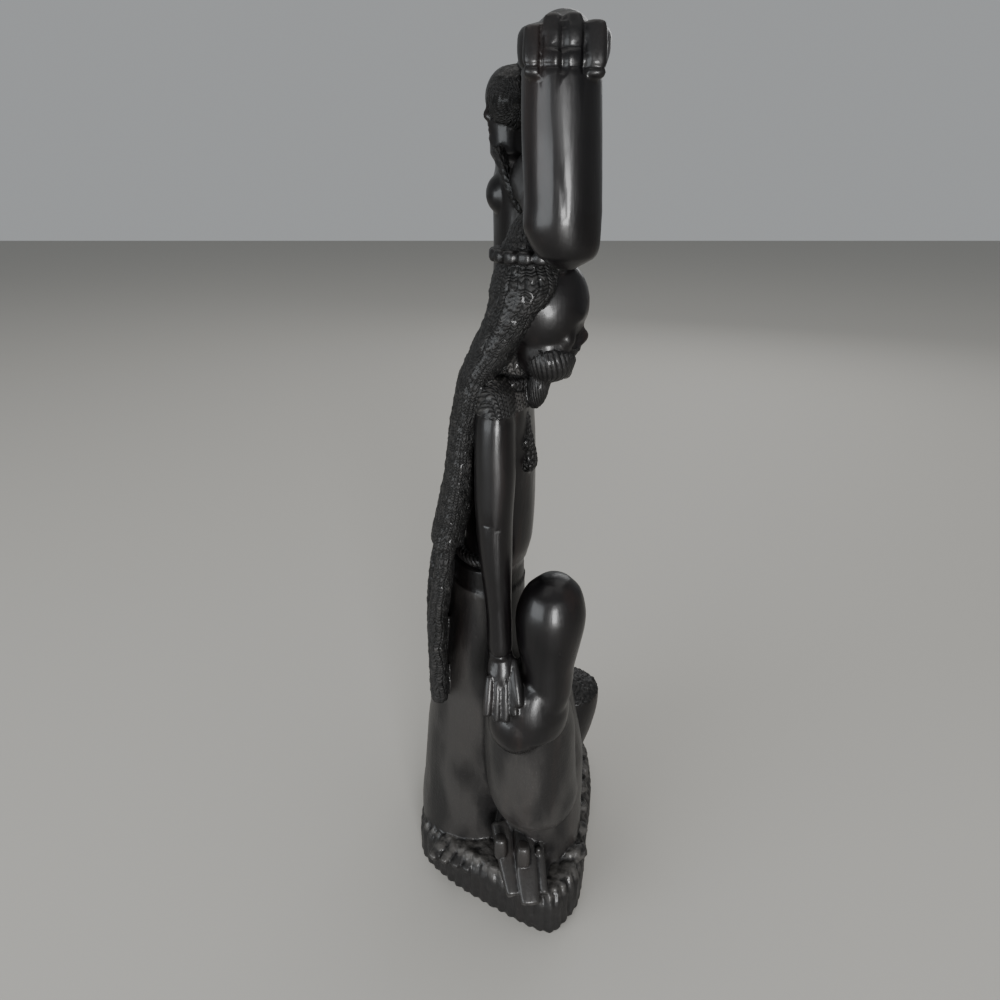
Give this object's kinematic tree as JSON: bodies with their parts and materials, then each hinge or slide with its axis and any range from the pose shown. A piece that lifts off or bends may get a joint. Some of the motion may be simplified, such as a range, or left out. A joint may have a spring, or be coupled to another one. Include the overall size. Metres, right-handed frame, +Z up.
{
  "type": "carved wooden figure group",
  "caption": "One-block ebony carving of a family: a standing bearded man, a woman with a long load on her head, a kneeling figure and a heaped basket on rough ground",
  "frame": {"origin": "middle of the bounding box in X and Y, on the flat underside of the carved ground", "axes": "+Z up; +X the way the standing man faces; +Y away from the narrow end that the picture shows"},
  "size_m": [0.1022, 0.1658, 0.4072],
  "materials": {
    "ebony": "satin, hand polished, matte in the carved hair and ground"
  },
  "bodies": {
    "root": {"family_carving": "ebony"}
  },
  "joints": []
}
